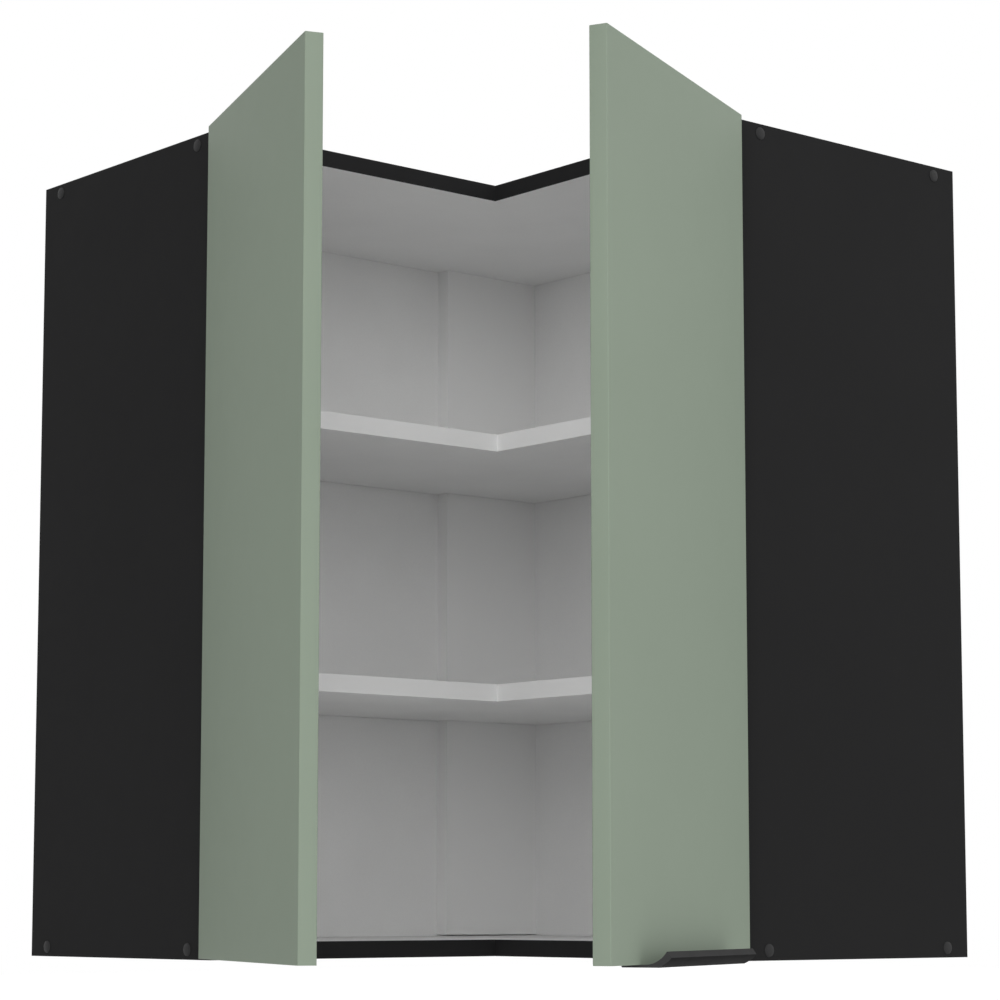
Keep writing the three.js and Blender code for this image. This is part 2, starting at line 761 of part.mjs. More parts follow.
function addEndPieces(wing, side) {
  wing.add(mesh(`end_panel_${side}`, endPanel(), blackBoard));
  wing.add(mesh(`back_panel_${side}`, backPanel(), whiteBoard));
  wing.add(mesh(`hanger_body_${side}`, hangerBody(), whitePlastic));
  wing.add(mesh(`hanger_hook_${side}`, hangerHook(), steel));
  const rows = { bottom: screwFromEdge, top: carcassHeight - screwFromEdge };
  for (const [row, z] of Object.entries(rows)) {
    screwPlaces.forEach((y, index) => {
      const cap = mesh(`cover_cap_${side}_${row}_${index + 1}`, coverCap(), capPlastic);
      cap.position.set(wingLength, y, z);
      wing.add(cap);
    });
  }
  shelfNames.forEach((level, shelfIndex) => {
    pinPlaces.forEach((y, index) => {
      const pin = mesh(`shelf_pin_${side}_${level}_${index + 1}`, shelfPin(), steel);
      pin.position.set(innerLength, y, pinHeight(shelfIndex));
      pin.rotation.z = Math.PI;
      wing.add(pin);
    });
  });
  for (const [level, z] of Object.entries(hingeHeights)) {
    const arm = mesh(`hinge_${side}_${level}_arm`, hingeArm(), steel);
    arm.position.z = z;
    wing.add(arm);
  }
}

function addBoards(cabinet) {
  cabinet.add(mesh("top_panel", topPanel(), blackBoard));
  cabinet.add(mesh("bottom_panel", bottomPanel(), blackBoard));
  cabinet.add(mesh("corner_batten", cornerBatten(), whiteBoard));
  shelfNames.forEach((level, index) => {
    cabinet.add(mesh(`shelf_${level}`, shelf(index), whiteBoard));
    const peg = mesh(`shelf_dowel_${level}`, dowel(), beech);
    peg.position.set(battenFace - dowelInBatten, battenMiddle, shelfMiddle(index));
    cabinet.add(peg);
  });
}

function cornerCabinet() {
  const cabinet = new THREE.Group();
  addBoards(cabinet);

  const left = new THREE.Group();
  left.rotation.z = -Math.PI / 2;
  addEndPieces(left, "left");
  addDoor(left, "left", leftDoor(), leftOpening);

  const right = new THREE.Group(); // mirrored, so that its y also runs away from the wall
  right.scale.y = -1;
  addEndPieces(right, "right");
  addDoor(right, "right", rightDoor(), rightOpening, [mesh("edge_pull", edgePull(), blackPull)]);

  for (const level of Object.keys(hingeHeights)) {
    addLevers(left, "left", level, leftOpening);
    addLevers(right, "right", level, rightOpening);
  }
  cabinet.add(left, right);
  return cabinet;
}

export default cornerCabinet();
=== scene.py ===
"""Corner wall cabinet: materials, small fasteners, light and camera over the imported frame.

Metres, +Z up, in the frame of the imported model. The room corner is the origin, the left wing runs along
X = 0 towards -Y and the right wing along Y = 0 towards +X. "Wing coordinates" are (distance along the wall
from the room corner, distance from the wall, height), with the doors closed.
"""

import json
import math
from collections import namedtuple

import bmesh
import bpy
from mathutils import Matrix, Vector

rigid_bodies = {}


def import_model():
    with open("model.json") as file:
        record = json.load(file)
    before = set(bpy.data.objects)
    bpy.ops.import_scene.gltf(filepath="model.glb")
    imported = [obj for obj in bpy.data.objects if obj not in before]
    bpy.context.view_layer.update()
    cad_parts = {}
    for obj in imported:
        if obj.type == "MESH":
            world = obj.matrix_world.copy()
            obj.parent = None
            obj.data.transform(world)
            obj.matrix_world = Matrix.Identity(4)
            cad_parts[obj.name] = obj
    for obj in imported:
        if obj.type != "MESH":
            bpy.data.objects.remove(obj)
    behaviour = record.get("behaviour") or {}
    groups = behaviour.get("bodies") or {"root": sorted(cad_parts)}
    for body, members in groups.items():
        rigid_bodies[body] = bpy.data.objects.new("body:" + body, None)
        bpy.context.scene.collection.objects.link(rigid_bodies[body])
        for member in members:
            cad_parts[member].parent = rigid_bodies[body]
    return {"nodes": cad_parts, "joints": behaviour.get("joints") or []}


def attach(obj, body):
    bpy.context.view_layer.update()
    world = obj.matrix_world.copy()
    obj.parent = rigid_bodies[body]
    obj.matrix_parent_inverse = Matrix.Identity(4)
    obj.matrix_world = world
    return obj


for stray in list(bpy.data.objects):
    bpy.data.objects.remove(stray)
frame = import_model()
nodes = frame["nodes"]
joints = {joint["name"]: joint for joint in frame["joints"]}
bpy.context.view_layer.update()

MM = 0.001
SIDES = ("left", "right")
LEVELS = ("lower", "upper")
PAIR = (-1, 1)

# Directions in the frame: up, down, to each wing's wall, and from each end panel into the cabinet
UP = (0, 0, 1)
DOWN = (0, 0, -1)
WALL = {"left": (-1, 0, 0), "right": (0, 1, 0)}
INWARD = {"left": (0, 1, 0), "right": (-1, 0, 0)}

# Directions in wing coordinates
TO_ROOM_CORNER = (-1, 0, 0)
TO_WALL = (0, -1, 0)
FROM_WALL = (0, 1, 0)

# ---------------------------------------------------------------- placing

Box = namedtuple("Box", "low middle high")


def wing_matrix(side):
    """From wing coordinates to the frame."""
    if side == "left":
        return Matrix.Rotation(-math.pi / 2, 4, "Z")
    return Matrix.Diagonal((1, -1, 1, 1))


def door_matrix(side):
    """From wing coordinates of the closed door to the frame, with the door open as at rest."""
    hinge = joints[f"{side}_door_hinge"]
    shift = Matrix.Translation(hinge["pos_m"])
    opening = Matrix.Rotation(-math.radians(hinge["range_deg"][1]), 4, hinge["axis"])
    return shift @ opening @ shift.inverted() @ wing_matrix(side)


def door_inner_side(side):
    """The direction in the frame that the open door's back looks in."""
    return door_matrix(side).to_3x3() @ Vector(TO_WALL)


def box_in(matrix, node):
    """A CAD node's box in the coordinates that a matrix takes to the frame."""
    back = matrix.inverted()
    places = [back @ vert.co for vert in nodes[node].data.vertices]
    low, high = (Vector([pick(axis) for axis in zip(*places)]) for pick in (min, max))
    return Box(low, (low + high) / 2, high)


def facing(matrix, places, direction):
    """Matrices to the frame that take local +Z to a direction and the local origin to each place."""
    turn = Vector(direction).to_track_quat("Z", "Y").to_matrix().to_4x4()
    return [matrix @ Matrix.Translation(place) @ turn for place in places]


# ---------------------------------------------------------------- meshes

TURNED_SIDES = 32
SMOOTH_ANGLE = math.radians(35)

# The low end of a screw's slot, as shares of the size at its mouth, and what the cutter stands over the head
SLOT_LOW_REACH = 0.45
SLOT_LOW_WIDTH = 0.7
CUTTER_ABOVE = 0.5 * MM


def mesh_of(made, name):
    """A mesh of a bmesh, which is freed."""
    mesh = bpy.data.meshes.new(name)
    made.to_mesh(mesh)
    made.free()
    return mesh


def linked(name, data):
    """A new object in the scene."""
    thing = bpy.data.objects.new(name, data)
    bpy.context.scene.collection.objects.link(thing)
    return thing


def turned(profile):
    """A closed mesh of (radius, height) points in millimetres turned about Z, from axis back to axis."""
    made = bmesh.new()
    angles = [2 * math.pi * i / TURNED_SIDES for i in range(TURNED_SIDES)]
    rings = []
    for radius, height in profile:
        around = angles if radius else [0]
        circle = [(radius * MM * math.cos(a), radius * MM * math.sin(a), height * MM) for a in around]
        rings.append([made.verts.new(place) for place in circle])
    for low, high in zip(rings, rings[1:]):
        for i in range(TURNED_SIDES):
            after = i + 1
            below = [low[i % len(low)], low[after % len(low)]]
            above = [high[after % len(high)], high[i % len(high)]]
            made.faces.new(list(dict.fromkeys(below + above)))
    bmesh.ops.recalc_face_normals(made, faces=made.faces)
    return made


def slot_cutter(width, reach, depth, top, turn):
    """One tapered slot across a screw's head, at an angle about its axis."""
    made = bmesh.new()
    slot = bmesh.ops.create_cube(made, size=1)["verts"]
    for vert in slot:
        low = vert.co.z < 0
        x = vert.co.x * 2 * reach * (SLOT_LOW_REACH if low else 1)
        y = vert.co.y * width * (SLOT_LOW_WIDTH if low else 1)
        vert.co = Vector((x, y, top - depth if low else top + CUTTER_ABOVE))
    bmesh.ops.rotate(made, verts=slot, matrix=Matrix.Rotation(turn, 3, "Z"))
    return made


def cross_head(name, profile, recess):
    """The mesh of a screw's head, from its profile and its recess (width, reach, depth), in millimetres."""
    head = linked(name, mesh_of(turned(profile), name))
    top = max(height for _, height in profile) * MM
    sizes = [size * MM for size in recess]
    cutters = []
    for turn in (0, math.pi / 2):
        cutter = linked(f"{name}_cutter", mesh_of(slot_cutter(*sizes, top, turn), f"{name}_cutter"))
        cut = head.modifiers.new("recess", "BOOLEAN")
        cut.operation, cut.solver, cut.object = "DIFFERENCE", "EXACT", cutter
        cutters.append(cutter)
    bpy.context.view_layer.update()
    evaluated = head.evaluated_get(bpy.context.evaluated_depsgraph_get())
    mesh = bpy.data.meshes.new_from_object(evaluated)
    for thing in (head, *cutters):
        bpy.data.objects.remove(thing)
    return mesh


def merged(name, mesh, matrices):
    """One mesh of a mesh's copies, one at each matrix, shaded smooth up to an angle."""
    made = bmesh.new()
    for matrix in matrices:
        verts, faces = len(made.verts), len(made.faces)
        made.from_mesh(mesh)
        bmesh.ops.transform(made, matrix=matrix, verts=list(made.verts)[verts:])
        if matrix.determinant() < 0:
            bmesh.ops.reverse_faces(made, faces=list(made.faces)[faces:])
    made.normal_update()
    for face in made.faces:
        face.smooth = True
    for edge in made.edges:
        edge.smooth = edge.calc_face_angle(math.pi) < SMOOTH_ANGLE
    return mesh_of(made, name)


def add_piece(name, mesh, matrices, body, finish):
    """A piece of the part: copies of a mesh that ride on a body, with the material of a finish."""
    slot, material = finish
    piece = linked(name, merged(name, mesh, matrices))
    piece.data.materials.append(material)
    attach(piece, body)


# ---------------------------------------------------------------- dressing the CAD nodes

WELD_DISTANCE = 0.005 * MM
WELD_SHARP = math.radians(30)
FLAT_ANGLE = math.radians(0.5)
BEVEL_ANGLE = math.radians(50)


def dressing_group():
    """A node group that welds the frame's loose triangles and shades smooth up to an angle."""
    group = bpy.data.node_groups.new("weld", "GeometryNodeTree")
    for way in ("INPUT", "OUTPUT"):
        group.interface.new_socket("Geometry", in_out=way, socket_type="NodeSocketGeometry")
    start = group.nodes.new("NodeGroupInput")
    end = group.nodes.new("NodeGroupOutput")
    weld = group.nodes.new("GeometryNodeMergeByDistance")
    weld.inputs["Distance"].default_value = WELD_DISTANCE
    smooth = group.nodes.new("GeometryNodeSetShadeSmooth")
    smooth.domain = "FACE"
    angle = group.nodes.new("GeometryNodeInputMeshEdgeAngle")
    steep = group.nodes.new("FunctionNodeCompare")
    steep.data_type, steep.operation = "FLOAT", "GREATER_THAN"
    steep.inputs["B"].default_value = WELD_SHARP
    normals = group.nodes.new("GeometryNodeSetMeshNormal")
    normals.mode = "SHARPNESS"
    normals.inputs["Remove Custom"].default_value = True
    group.links.new(start.outputs[0], weld.inputs["Geometry"])
    group.links.new(weld.outputs[0], smooth.inputs["Geometry"])
    group.links.new(smooth.outputs[0], normals.inputs["Mesh"])
    group.links.new(angle.outputs["Unsigned Angle"], steep.inputs["A"])
    group.links.new(steep.outputs[0], normals.inputs["Edge Sharpness"])
    group.links.new(normals.outputs[0], end.inputs[0])
    return group


WELD = dressing_group()


def dress(node, material, bevel=0.0, segments=2):
    """A CAD node's material, welded and smooth faces, and a bevel in millimetres on its sharp edges."""
    thing = nodes[node]
    for slot in thing.material_slots:
        slot.material = material
    weld = thing.modifiers.new("weld", "NODES")
    weld.node_group = WELD
    if bevel:
        flat = thing.modifiers.new("flat", "DECIMATE")
        flat.decimate_type, flat.angle_limit = "DISSOLVE", FLAT_ANGLE
        round_edges = thing.modifiers.new("edges", "BEVEL")
        round_edges.width, round_edges.segments = bevel * MM, segments
        round_edges.limit_method, round_edges.angle_limit = "ANGLE", BEVEL_ANGLE
        round_edges.harden_normals = True


# ---------------------------------------------------------------- shader helpers

FACE_COSINE = 0.93
CLOUD_FROM = 0.3
CLOUD_TO = 0.7


def tinted(color, factor):
    return tuple(channel * factor for channel in color)


class Shader:
    """The nodes of a material or of the world, under construction."""

    def __init__(self, owner):
        self.owner = owner
        owner.use_nodes = True
        self.tree = owner.node_tree
        self.tree.nodes.clear()
        place = self.node("ShaderNodeTexCoord").outputs
        self.position, self.normal = place["Object"], place["Normal"]
        # In the world's nodes this is the direction of a ray
        self.direction = place["Generated"]

    def feed(self, socket, value):
        """Link a socket to another, or set its value."""
        if isinstance(value, bpy.types.NodeSocket):
            self.tree.links.new(value, socket)
        else:
            socket.default_value = value

    def node(self, kind, inputs=None, **settings):
        made = self.tree.nodes.new(kind)
        for key, value in settings.items():
            setattr(made, key, value)
        for key, value in (inputs or {}).items():
            self.feed(made.inputs[key], value)
        return made

    def calc(self, operation, a, b=0.0):
        return self.node("ShaderNodeMath", {0: a, 1: b}, operation=operation).outputs[0]

    def times(self, a, b):
        return self.calc("MULTIPLY", a, b)

    def dot(self, vector, unit):
        made = self.node("ShaderNodeVectorMath", {0: vector, 1: unit}, operation="DOT_PRODUCT")
        return made.outputs["Value"]

    def stretched(self, scale):
        return self.node("ShaderNodeMapping", {"Vector": self.position, "Scale": scale}).outputs[0]

    def noise(self, scale, detail=2.0, roughness=0.5, vector=None, distortion=0.0):
        inputs = {
            "Vector": vector or self.position,
            "Scale": scale,
            "Detail": detail,
            "Roughness": roughness,
            "Distortion": distortion,
        }
        return self.node("ShaderNodeTexNoise", inputs).outputs["Fac"]

    def cells(self, scale, output, feature="F1"):
        inputs = {"Vector": self.position, "Scale": scale}
        return self.node("ShaderNodeTexVoronoi", inputs, feature=feature).outputs[output]

    def ranged(self, value, low, high, from_low=0.0, from_high=1.0, **settings):
        """A value that goes from low to high while another goes from from_low to from_high."""
        inputs = {
            "Value": value,
            "From Min": from_low,
            "From Max": from_high,
            "To Min": low,
            "To Max": high,
        }
        return self.node("ShaderNodeMapRange", inputs, **settings).outputs[0]

    def cloud(self, scale, detail):
        """Soft blotches from 0 to 1."""
        return self.ranged(self.noise(scale, detail), 0.0, 1.0, CLOUD_FROM, CLOUD_TO)

    def mix(self, factor, a, b):
        made = self.node("ShaderNodeMix", data_type="RGBA")
        sockets = {socket.identifier: socket for socket in (*made.inputs, *made.outputs)}
        self.feed(sockets["Factor_Float"], factor)
        for key, color in (("A_Color", a), ("B_Color", b)):
            self.feed(sockets[key], (*color, 1) if isinstance(color, tuple) else color)
        return sockets["Result_Color"]

    def spread(self, factor, color, amount):
        """A colour that goes from a little darker to a little lighter with a factor."""
        return self.mix(factor, tinted(color, 1 - amount), tinted(color, 1 + amount))

    def ramp(self, value, stops):
        made = self.node("ShaderNodeValToRGB", {"Fac": value})
        elements = made.color_ramp.elements
        while len(elements) < len(stops):
            elements.new(0.5)
        for element, (at, color) in zip(elements, stops):
            element.position, element.color = at, (*color, 1)
        return made.outputs["Color"]

    def faces(self, *directions):
        """1 on the flat faces that look in one of some directions of the part at rest, otherwise 0."""
        mask = None
        for direction in directions:
            unit = tuple(Vector(direction).normalized())
            found = self.calc("GREATER_THAN", self.dot(self.normal, unit), FACE_COSINE)
            mask = self.calc("MAXIMUM", mask, found) if mask else found
        return mask

    def rise(self):
        """How far a face looks up, from -1 to 1."""
        return self.node("ShaderNodeSeparateXYZ", {"Vector": self.normal}).outputs["Z"]

    def shows(self):
        """1 for the rays that show the background: from the camera, a gloss or through a clear piece."""
        path = self.node("ShaderNodeLightPath").outputs
        seen = self.calc("MAXIMUM", path["Is Camera Ray"], path["Is Glossy Ray"])
        return self.calc("MAXIMUM", seen, path["Is Transmission Ray"])

    def bump(self, height, distance, strength):
        """A normal from a surface height, with the distance in millimetres."""
        inputs = {"Height": height, "Distance": distance * MM, "Strength": strength}
        return self.node("ShaderNodeBump", inputs).outputs[0]

    def finish(self, color, roughness, normal, specular=0.5, metallic=0.0):
        """The finished material."""
        inputs = {
            "Base Color": color,
            "Roughness": roughness,
            "Normal": normal,
            "Specular IOR Level": specular,
            "Metallic": metallic,
        }
        surface = self.node("ShaderNodeBsdfPrincipled", inputs)
        self.node("ShaderNodeOutputMaterial", {"Surface": surface.outputs[0]})
        return self.owner


def material_shader(name):
    return Shader(bpy.data.materials.new(name))


# ---------------------------------------------------------------- colours, linear

WHITE = (1, 1, 1, 1)
BLACK = (0.0170, 0.0170, 0.0173)
LIGHT = (0.90, 0.90, 0.896)
SAGE = (0.250, 0.298, 0.237)
COATING = ((0.044, 0.044, 0.0445), (0.050, 0.050, 0.0505))
# Painted shade: the deeper black of the pull's faces that look down
COATING_PAINTED_SHADE = ((0.0105, 0.0105, 0.0108), (0.013, 0.013, 0.0133))
CAP_BLACK = (0.024, 0.024, 0.0245)
SCREW_BLACK = (0.02, 0.02, 0.021)
HANGER_WHITE = (0.68, 0.68, 0.66)
BUMPER_WHITE = ((0.5, 0.5, 0.48), (0.58, 0.58, 0.56))
NICKEL = (0.66, 0.65, 0.62)
ZINC = (0.5, 0.52, 0.56)
STEEL = (0.6, 0.59, 0.56)
CHIP_GAP = (0.09, 0.055, 0.03)
FIBRE_MOTTLE = (0.12, 0.07, 0.036)
FLOOR_TONES = ((0.89, 0.89, 0.89), (0.91, 0.91, 0.91))

# Ramps: each stop's place and colour
CHIPS = [
    (0.0, (0.20, 0.125, 0.06)),
    (0.35, (0.36, 0.25, 0.135)),
    (0.7, (0.47, 0.345, 0.2)),
    (1.0, (0.58, 0.45, 0.28)),
]
FIBRE = [
    (0.25, (0.075, 0.04, 0.02)),
    (0.55, (0.17, 0.1, 0.052)),
    (0.8, (0.29, 0.185, 0.1)),
]
BEECH = [
    (0.3, (0.42, 0.25, 0.12)),
    (0.5, (0.56, 0.37, 0.2)),
    (0.75, (0.66, 0.47, 0.28)),
]


# ---------------------------------------------------------------- materials

CHIP_SCALE = 420.0
# Painted shade: how much darker the shelves' edges are painted than their faces
SHELF_EDGE_SHADE = 0.88


def melamine(shader, color):
    """Colour and surface height of a melamine face: a fine pearl emboss with a faint cloudiness."""
    base = shader.spread(shader.cloud(9.0, detail=3.0), color, 0.025)
    fleck = shader.ranged(shader.noise(900.0), 0.0, 0.25, from_low=0.4, from_high=0.7)
    emboss = shader.noise(1400.0, detail=3.0, roughness=0.6)
    return shader.mix(fleck, base, tinted(color, 0.9)), emboss


def chipboard(shader):
    """Colour of a board's raw edge, and where the dark gaps between its chips are."""
    chips = shader.cells(CHIP_SCALE, "Color")
    shade = shader.node("ShaderNodeSeparateColor", {"Color": chips}).outputs[0]
    border = shader.cells(CHIP_SCALE, "Distance", "DISTANCE_TO_EDGE")
    gap = shader.ranged(border, 1.0, 0.0, from_high=0.12)
    return shader.mix(shader.times(gap, 0.6), shader.ramp(shade, CHIPS), CHIP_GAP), gap


def board(name, light_side, raw_sides):
    """A carcass board: black melamine and edge bands, a light face, and raw edges towards the wall."""
    shader = material_shader(name)
    color, emboss = melamine(shader, BLACK)
    color = shader.mix(shader.faces(light_side), color, melamine(shader, LIGHT)[0])
    raw = shader.faces(*raw_sides)
    wood, gap = chipboard(shader)
    color = shader.mix(raw, color, wood)
    smooth = shader.ranged(shader.noise(60.0, detail=3.0), 0.5, 0.62)
    roughness = shader.calc("MAXIMUM", smooth, shader.times(raw, 0.9))
    pits = shader.times(shader.times(raw, gap), -3.0)
    height = shader.calc("ADD", shader.times(emboss, 0.5), pits)
    relief = shader.bump(height, distance=0.06, strength=0.35)
    return shader.finish(color, roughness, relief, specular=0.02)


def light_board(name, edge_shade=1.0):
    """A light board: melamine faces, and on a level board edges darkened by a painted shade factor."""
    shader = material_shader(name)
    color, emboss = melamine(shader, LIGHT)
    shaded_edges = shader.calc("LESS_THAN", shader.calc("ABSOLUTE", shader.rise()), 0.5)
    # Painted shade: the edges of a level board are darkened by a factor
    color = shader.mix(shaded_edges, color, tinted(LIGHT, edge_shade))
    roughness = shader.ranged(shader.noise(60.0, detail=3.0), 0.42, 0.52)
    relief = shader.bump(shader.times(emboss, 0.5), distance=0.06, strength=0.35)
    return shader.finish(color, roughness, relief, specular=0.3)


def lacquer(name, inner_side):
    """A matt sage front: a very fine orange peel in the lacquer, and the light board on the inner face."""
    shader = material_shader(name)
    color = shader.spread(shader.cloud(5.0, detail=3.0), SAGE, 0.015)
    speck = shader.ranged(shader.noise(1600.0, detail=1.0), 0.0, 0.1, from_low=0.5, from_high=0.8)
    color = shader.mix(speck, color, tinted(SAGE, 1.12))
    back, emboss = melamine(shader, LIGHT)
    color = shader.mix(shader.faces(inner_side), color, back)
    peel = shader.calc("ADD", shader.noise(350.0), shader.times(emboss, 0.3))
    roughness = shader.ranged(shader.noise(45.0, detail=3.0), 0.44, 0.52)
    relief = shader.bump(peel, distance=0.05, strength=0.3)
    return shader.finish(color, roughness, relief, specular=0.05)


def hardboard(name, inner_side):
    """A back panel: white coated on the inside, brown pressed fibre behind and on its cut edges."""
    shader = material_shader(name)
    front, emboss = melamine(shader, LIGHT)
    fibre = shader.noise(260.0, detail=6.0, roughness=0.7, distortion=0.6)
    mottle = shader.ranged(shader.noise(28.0, detail=3.0), 0.0, 0.35)
    brown = shader.mix(mottle, shader.ramp(fibre, FIBRE), FIBRE_MOTTLE)
    rear = shader.calc("SUBTRACT", 1.0, shader.faces(inner_side))
    color = shader.mix(rear, front, brown)
    roughness = shader.ranged(rear, 0.48, 0.82)
    height = shader.calc("ADD", shader.times(shader.times(fibre, rear), 2.5), emboss)
    relief = shader.bump(height, distance=0.06, strength=0.4)
    return shader.finish(color, roughness, relief, specular=0.3)


def powder_coat(name):
    """Satin black coating with a fine grain, and painted shade: deeper black where faces look down."""
    shader = material_shader(name)
    cloud = shader.cloud(40.0, detail=3.0)
    # Painted shade: the faces that look down get the deeper black
    under = shader.ranged(shader.rise(), 1.0, 0.0, from_low=-0.4, from_high=-0.05)
    color = shader.mix(under, shader.mix(cloud, *COATING), shader.mix(cloud, *COATING_PAINTED_SHADE))
    grain = shader.noise(2200.0, roughness=0.6)
    roughness = shader.ranged(shader.noise(120.0, detail=3.0), 0.42, 0.52)
    relief = shader.bump(grain, distance=0.03, strength=0.3)
    return shader.finish(color, roughness, relief, specular=0.005)


def moulded(name, color, roughness=0.45, specular=0.4):
    """Moulded plastic with a fine spark-eroded texture."""
    shader = material_shader(name)
    base = shader.spread(shader.cloud(80.0, detail=2.0), color, 0.06)
    rough = shader.ranged(shader.noise(300.0), roughness - 0.05, roughness + 0.07)
    relief = shader.bump(shader.noise(1200.0, roughness=0.6), distance=0.04, strength=0.3)
    return shader.finish(base, rough, relief, specular=specular)


def plated_steel(name, color):
    """Plated steel: soft clouding in the plating and fine handling scratches."""
    shader = material_shader(name)
    plating = shader.noise(110.0, detail=4.0, roughness=0.6)
    base = shader.spread(shader.ranged(plating, 0.0, 1.0, CLOUD_FROM, CLOUD_TO), color, 0.04)
    scratches = shader.noise(240.0, 4.0, 0.6, vector=shader.stretched((1.0, 1.0, 9.0)))
    clouded = shader.ranged(plating, 0.25, 0.29)
    roughness = shader.calc("ADD", clouded, shader.ranged(scratches, -0.03, 0.05))
    relief = shader.bump(scratches, distance=0.004, strength=0.15)
    return shader.finish(base, roughness, relief, metallic=1.0)


def wood_peg(name):
    """Beech of the dowels, with a fine grain along X."""
    shader = material_shader(name)
    grain = shader.noise(500.0, 4.0, 0.6, vector=shader.stretched((0.06, 1.0, 1.0)))
    relief = shader.bump(grain, distance=0.05, strength=0.4)
    return shader.finish(shader.ramp(grain, BEECH), shader.ranged(grain, 0.55, 0.7), relief)


def rubber(name):
    """Pale, faintly cloudy soft plastic."""
    shader = material_shader(name)
    cloud = shader.cloud(500.0, detail=2.0)
    relief = shader.bump(cloud, distance=0.01, strength=0.2)
    return shader.finish(shader.mix(cloud, *BUMPER_WHITE), shader.ranged(cloud, 0.3, 0.4), relief)


BOTH_WALLS = WALL.values()
dress("top_panel", board("top_board", DOWN, BOTH_WALLS), bevel=0.2)
dress("bottom_panel", board("bottom_board", UP, BOTH_WALLS), bevel=0.2)
dress("corner_batten", light_board("batten_board"), bevel=0.4)
dress("edge_pull", powder_coat("pull_coating"), bevel=0.2)

shelf_board = light_board("shelf_board", SHELF_EDGE_SHADE)
beech = wood_peg("beech")
for level in LEVELS:
    dress(f"shelf_{level}", shelf_board, bevel=0.2)
    dress(f"shelf_dowel_{level}", beech)

caps = moulded("cap_plastic_satin", CAP_BLACK, specular=0.1)
pins = plated_steel("pin_steel", NICKEL)
hinge_steel = plated_steel("hinge_nickel", NICKEL)
hook_zinc = plated_steel("hook_zinc", ZINC)
hanger_plastic = moulded("hanger_white", HANGER_WHITE)

for side in SIDES:
    from_wall = tuple(-part for part in WALL[side])
    dress(f"end_panel_{side}", board(f"end_board_{side}", INWARD[side], [WALL[side]]), bevel=0.2)
    dress(f"back_panel_{side}", hardboard(f"hardboard_{side}", from_wall))
    dress(f"door_{side}", lacquer(f"sage_lacquer_{side}", door_inner_side(side)), bevel=0.1)
    dress(f"hanger_body_{side}", hanger_plastic, bevel=0.4)
    dress(f"hanger_hook_{side}", hook_zinc, bevel=0.25)
    for row in ("bottom", "top"):
        for index in (1, 2):
            dress(f"cover_cap_{side}_{row}_{index}", caps)
    for level in LEVELS:
        for index in (1, 2):
            dress(f"shelf_pin_{side}_{level}_{index}", pins)
        dress(f"hinge_{side}_{level}_arm", hinge_steel, bevel=0.2)
        dress(f"hinge_{side}_{level}_cup", hinge_steel, bevel=0.15)
        for lever in ("crank_long", "crank_short", "coupler_long", "coupler_short"):
            dress(f"hinge_{side}_{level}_{lever}", hinge_steel, bevel=0.12, segments=1)

# ---------------------------------------------------------------- small fasteners

# A head's local +Z points out of the surface that it sits in. Its top or its foot is at 0.
pan_head = cross_head(
    "pan_head",
    [(0, 0), (3.4, 0), (3.5, 0.4), (3.3, 1.2), (2.6, 1.9), (1.4, 2.2), (0, 2.3)],
    recess=(0.9, 1.9, 1.5),
)
flat_head = cross_head(
    "flat_head",
    [(0, -1.6), (1.9, -1.6), (3.4, -0.25), (3.5, -0.1), (3.35, 0), (0, 0)],
    recess=(0.9, 1.9, 1.3),
)
grub = cross_head(
    "grub",
    [(0, -6), (2.7, -6), (2.7, -0.4), (2.3, 0), (0, 0)],
    recess=(0.9, 1.7, 1.6),
)
bumper = mesh_of(
    turned([(0, 0), (4, 0), (3.9, 0.5), (3.4, 1.1), (2.4, 1.5), (1.2, 1.65), (0, 1.7)]),
    "bumper",
)

# The record's slot and the material
steel_finish = ("steel", plated_steel("screw_steel", STEEL))
black_finish = ("black_pull", moulded("pull_screw_black", SCREW_BLACK, roughness=0.35))
bumper_finish = ("white_plastic", rubber("bumper_rubber"))

# A hinge's plate lies on the end panel. Setbacks are behind that panel's front edge, and the adjusters'
# heights over its inner face.
PLATE_THICKNESS = 2.2 * MM
PLATE_SCREW_SETBACK = 37 * MM
PLATE_SCREW_SPACING = 32 * MM
ADJUSTER_HEIGHTS_AND_SETBACKS = ((10.4 * MM, 78.25 * MM), (10.8 * MM, 58.5 * MM))

# A cup's ears lie behind its middle, and their screws' heads stand a little over its flange
EAR_OFFSET = 9.5 * MM
EAR_SPACING = 45 * MM
EAR_SCREW_RISE = 0.5 * MM

# A hanger's screws are sunk in its face, below its top
HANGER_SCREW_DROPS = (14 * MM, 40 * MM)
HANGER_SCREW_DEPTH = 1 * MM

# A door's bumpers lie in from its free edge and its ends, and the pull's screws are sunk in its underside
BUMPER_INSET = 20 * MM
BUMPER_END_INSET = 7 * MM
PULL_SCREW_SPACING = 128 * MM
PULL_SCREW_DEPTH = 0.1 * MM


